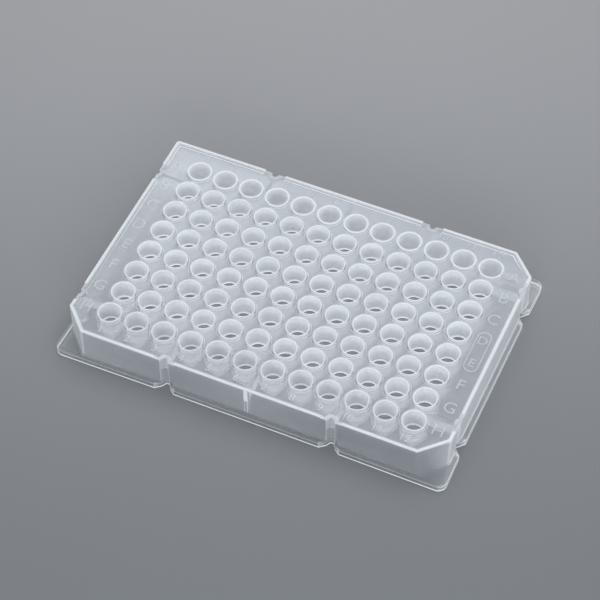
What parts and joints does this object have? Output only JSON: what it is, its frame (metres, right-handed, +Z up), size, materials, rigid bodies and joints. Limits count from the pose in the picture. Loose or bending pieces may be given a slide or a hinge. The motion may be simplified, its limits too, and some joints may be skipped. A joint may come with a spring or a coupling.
{
  "type": "well plate",
  "caption": "Translucent one-piece laboratory microplate: round V-bottom wells in a grid on a skirted deck with three cut corners, a base flange and grip notches.",
  "frame": {"origin": "centre of the footprint on the surface the plate stands on", "axes": "+X along the rows from column 1 to column 12, +Y from row H to row A, +Z up out of the wells' mouths"},
  "size_m": [0.1278, 0.0854, 0.0143],
  "materials": {
    "plate_plastic": "natural translucent polypropylene, softly glossy"
  },
  "bodies": {
    "root": {"well_plate": "plate_plastic"}
  },
  "joints": []
}
